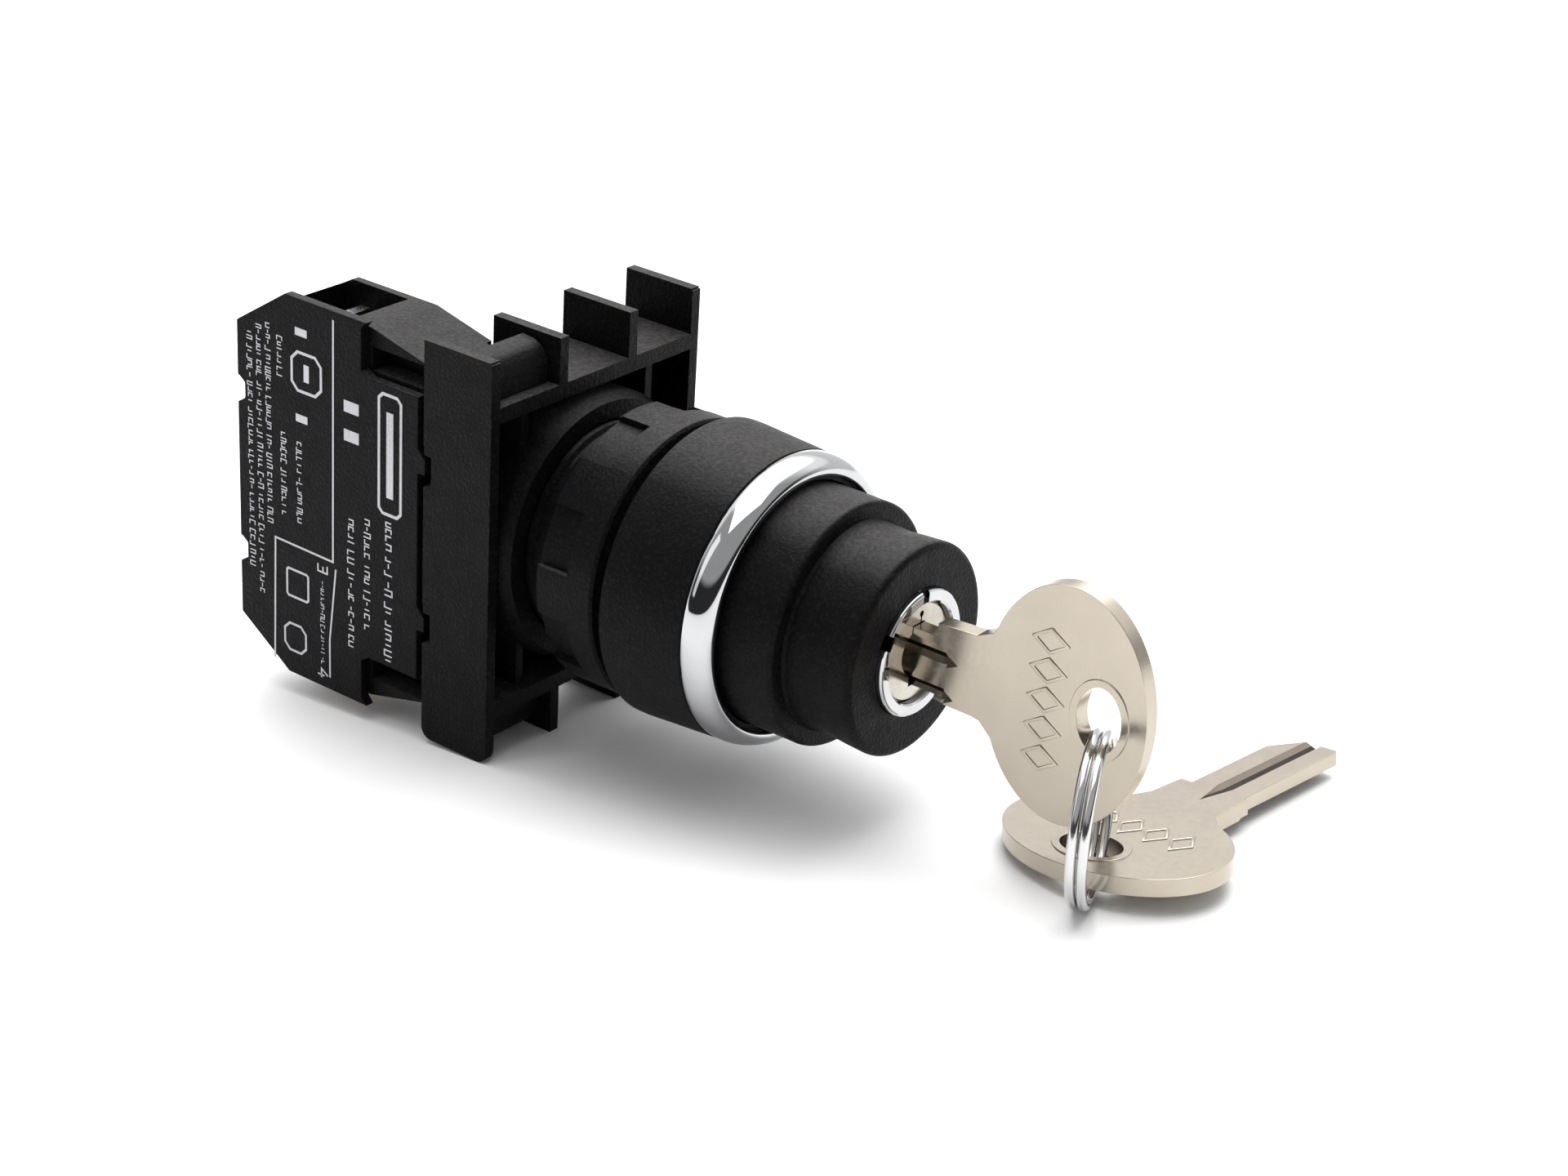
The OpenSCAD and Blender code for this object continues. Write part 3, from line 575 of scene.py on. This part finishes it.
def trim_ring():
    radius = TRIM_IN + TRIM_FLAT
    depth = TRIM_SEAT + TRIM_STRAIGHT
    turns = [math.radians(90 * i / TRIM_ARC_STEPS) for i in range(TRIM_ARC_STEPS + 1)]
    profile = [
        (TRIM_IN, -TRIM_SEAT), (TRIM_OUT - TRIM_CHAMFER, -TRIM_SEAT),
        (TRIM_OUT, -TRIM_SEAT - TRIM_CHAMFER),
    ]
    profile += [
        (radius + (TRIM_OUT - radius) * math.cos(t), -(depth + (TRIM_FRONT - depth) * math.sin(t)))
        for t in turns
    ]
    profile += [(TRIM_IN + inset, back - TRIM_FRONT) for inset, back in TRIM_LIP]
    piece = lathe("trim_ring", profile)
    smooth(piece.data, TRIM_CREASE)
    settle(piece, "switch", "chrome_trim", "bezel_ring")


# split ring: two turns of round wire side by side, stepping over at one place

RING_CENTRE = Vector((-2, -48.08, -8.19))
RING_TURN = Euler((math.radians(-1.5), 0, math.radians(22.7)))
RING_R = 7.665
RING_START = math.radians(20)
RING_STEPS = 176
RING_OPEN_STEPS = 8
RING_CREASE = 60
WIRE_R = 0.475
WIRE_SIDES = 20
# half the air between the turns, half the steps that the wire takes to cross over, and the
# wire's thickness at the first steps from each end, which is dressed round
TURN_GAP = 0.035
STEP_OVER = 12
END_SHARES = (0.72, 0.9, 0.97)


def split_ring():
    n = 2 * RING_STEPS - RING_OPEN_STEPS
    turn = RING_TURN.to_matrix()
    verts, faces = [], []
    for i in range(n + 1):
        a = RING_START + 2 * math.pi * i / RING_STEPS
        out = Vector((math.cos(a), 0, math.sin(a)))
        t = max(-1, min(1, (i - n / 2) / STEP_OVER))
        over = (WIRE_R + TURN_GAP) * math.sin(t * math.pi / 2)
        from_end = min(i, n - i)
        r = WIRE_R * (END_SHARES[from_end] if from_end < len(END_SHARES) else 1)
        centre = RING_R * out + Vector((0, over, 0))
        for k in range(WIRE_SIDES):
            b = 2 * math.pi * k / WIRE_SIDES
            p = centre + r * (math.cos(b) * Vector((0, -1, 0)) + math.sin(b) * out)
            verts.append(RING_CENTRE + turn @ p)
    for i in range(n):
        here, after = i * WIRE_SIDES, (i + 1) * WIRE_SIDES
        for k in range(WIRE_SIDES):
            m = (k + 1) % WIRE_SIDES
            faces.append((here + k, here + m, after + m, after + k))
    faces += [tuple(range(start, start + WIRE_SIDES)) for start in (0, n * WIRE_SIDES)]
    piece = mesh_object("split_ring", verts, faces)
    smooth(piece.data, RING_CREASE)
    settle(piece, "ring", node_slot("key_ring"), "key_ring")


# keys: rounded edges, milled grooves and a generic embossed pattern on the bow

KEY_HALF_T = 0.85
KEY_PLACE = Matrix.Translation((0, -47, 0.7)) @ Euler((math.pi / 2, 0, math.pi / 2)).to_matrix().to_4x4()
SPARE_PLACE = (
    Matrix.Translation((1.89, -46.25, -14.24))
    @ Euler([math.radians(a) for a in (-7.73, 0.92, -6.94)]).to_matrix().to_4x4()
)
KEY_CREASE = 12

# milled grooves: side, across the blade from low to high, and how far the painted shade line in the
# corner reaches
GROOVES = ((1, -1.9, -0.1, -0.8), (-1, -0.9, 0.7, 0.1), (-1, -4.5, -2.9, -3.45))
# how a groove's faces are known: they lie on the blade, past low and high by no more than
# the rounding adds, and their lowest point is between these heights above the key's middle
BLADE_START = 14
GROOVE_MARGIN = 0.15
GROOVE_DEEPEST = -0.2
GROOVE_SHALLOWEST = 0.6
SHADE_LINE_MARGIN = 0.02


def groove_of(points):
    """Side and painted shade line of the groove that a face lies in, from its corners in the key's axes.
    """
    for side, low, high, dark in GROOVES:
        across = all(low - GROOVE_MARGIN < p.y < high + GROOVE_MARGIN for p in points)
        along = min(p.x for p in points) > BLADE_START
        if across and along and GROOVE_DEEPEST < min(side * p.z for p in points) < GROOVE_SHALLOWEST:
            return side, dark
    return None


def milled_key(node, place):
    """Key with rounded edges, its grooves in a duller finish darkened with painted shade and a painted
    shadow line along the groove's deep edge.
    """
    to_key = place.inverted() @ Matrix.Scale(1 / MM, 4)

    def score(bm):
        for face in list(bm.faces):
            found = groove_of([to_key @ v.co for v in face.verts])
            if found:
                parts = [face, *face.edges, *face.verts]
                bmesh.ops.bisect_plane(
                    bm, geom=parts, dist=SAME_POINT_MM * MM / 2,
                    plane_co=place @ Vector((0, found[1], 0)) * MM,
                    plane_no=place.to_3x3() @ Vector((0, 1, 0)),
                )

    piece = softened(node, KEY_CREASE, score)
    own = len(piece.data.materials)
    piece.data.materials.append(finish["milled"])
    piece.data.materials.append(finish["groove_shade"])
    for face in piece.data.polygons:
        points = [to_key @ piece.data.vertices[i].co for i in face.vertices]
        found = groove_of(points)
        if found:
            side, dark = found
            # faces by the groove's deep edge get the painted shade line
            if all(side * (dark - p.y) > -SHADE_LINE_MARGIN for p in points):
                face.material_index = own + 1
            # other groove faces on the +1 side get the darker colour, partly painted shade
            elif side > 0:
                face.material_index = own


LOZENGES = 5
LOZENGE_PITCH = 2.9
LOZENGE_MIDDLE = 5.65
LOZENGE_HALF_LONG = 1.75
LOZENGE_HALF_WIDE = 1.15
LOZENGE_LINE = 0.34
EMBOSS_MM = 0.1
EMBOSS_EDGE_MM = 0.09


def emboss(name, body, place, side):
    """Row of raised lozenges across the bow, on the key's side +1 or -1."""
    lines = []
    for i in range(LOZENGES):
        v = LOZENGE_PITCH * (i - LOZENGES // 2)
        corners = [
            (LOZENGE_MIDDLE - LOZENGE_HALF_LONG, v), (LOZENGE_MIDDLE, v - LOZENGE_HALF_WIDE),
            (LOZENGE_MIDDLE + LOZENGE_HALF_LONG, v), (LOZENGE_MIDDLE, v + LOZENGE_HALF_WIDE),
        ]
        lines.append((corners, LOZENGE_LINE, True))
    if side < 0:
        place = place @ Matrix.Diagonal((1, 1, -1, 1))
    piece = raised(name, lines, place, KEY_HALF_T - EMBOSS_MM, KEY_HALF_T + EMBOSS_MM)
    round_edges(piece, EMBOSS_EDGE_MM, EDGE_ANGLE)
    settle(piece, body, "nickel")


# ---------------------------------------------------------------- build


make_camera()
make_floor()
make_lights()
finish = make_materials()

for name, obj in nodes.items():
    obj.data.materials.clear()
    obj.data.materials.append(finish[SLOT_FINISH[node_slot(name)]])
nodes["lock_plug"].data.materials[0] = finish["plug"]

for name in ("adapter_frame", "block_housing", "block_cover", "locking_nut"):
    softened(name)
milled_key("key", KEY_PLACE)
milled_key("spare_key", SPARE_PLACE)
cover_print()
trim_ring()
split_ring()
for letter, side in (("a", 1), ("b", -1)):
    emboss("key_pattern_" + letter, "key", KEY_PLACE, side)
    emboss("spare_pattern_" + letter, "spare", SPARE_PLACE, side)

scene.view_settings.view_transform = "Standard"
